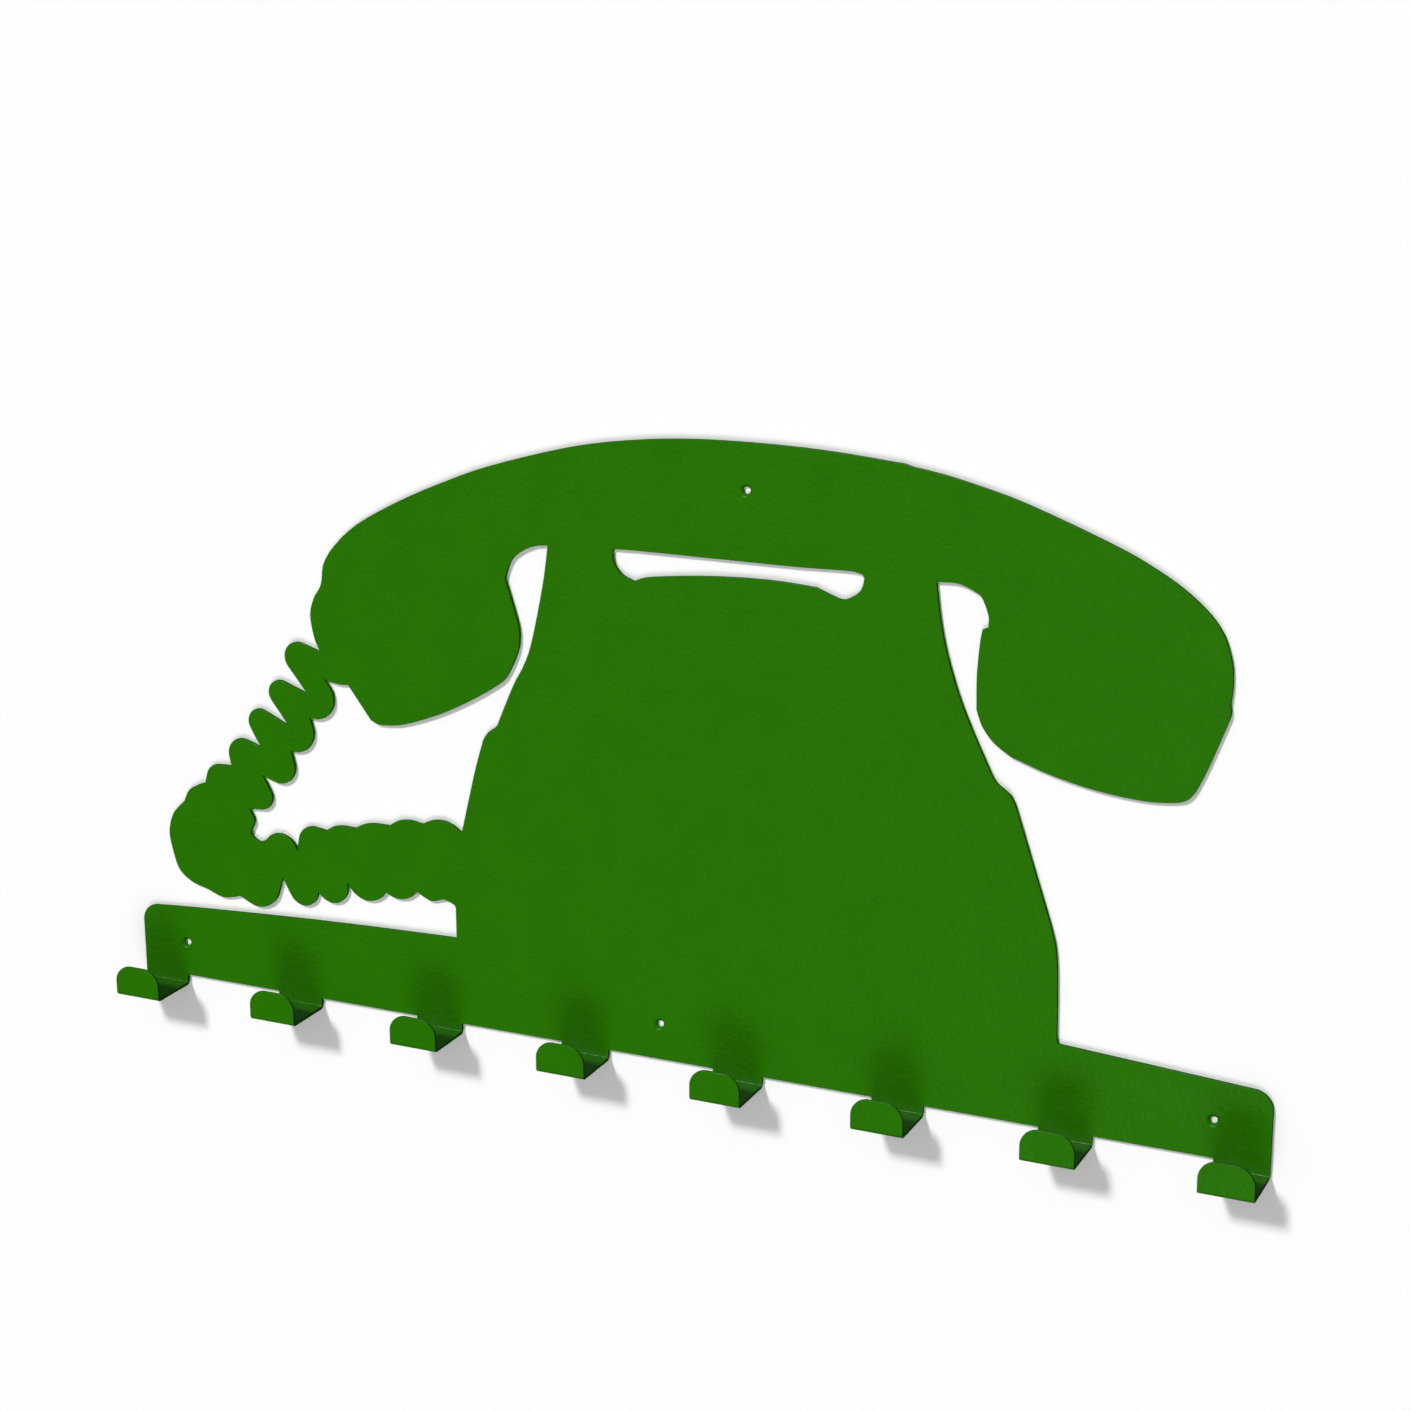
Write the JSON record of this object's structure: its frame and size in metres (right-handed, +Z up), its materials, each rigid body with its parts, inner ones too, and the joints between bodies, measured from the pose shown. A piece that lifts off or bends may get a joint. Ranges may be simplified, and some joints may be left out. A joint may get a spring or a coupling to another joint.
{
  "type": "wall coat rack",
  "caption": "Flat sheet-steel wall rack in the outline of an old desk telephone with curly cord, over a rail with folded hooks and countersunk screw holes.",
  "frame": {"origin": "middle of the back face's bounding rectangle, on the wall plane", "axes": "+X to the right along the rail, +Y out of the back face into the wall, +Z up"},
  "size_m": [0.58, 0.0275, 0.3026],
  "materials": {
    "powder_coat": "green powder coat with a fine orange-peel texture, half matt"
  },
  "bodies": {
    "root": {"back_plate": "powder_coat", "hook_1": "powder_coat", "hook_2": "powder_coat", "hook_3": "powder_coat", "hook_4": "powder_coat", "hook_5": "powder_coat", "hook_6": "powder_coat", "hook_7": "powder_coat", "hook_8": "powder_coat"}
  },
  "joints": []
}
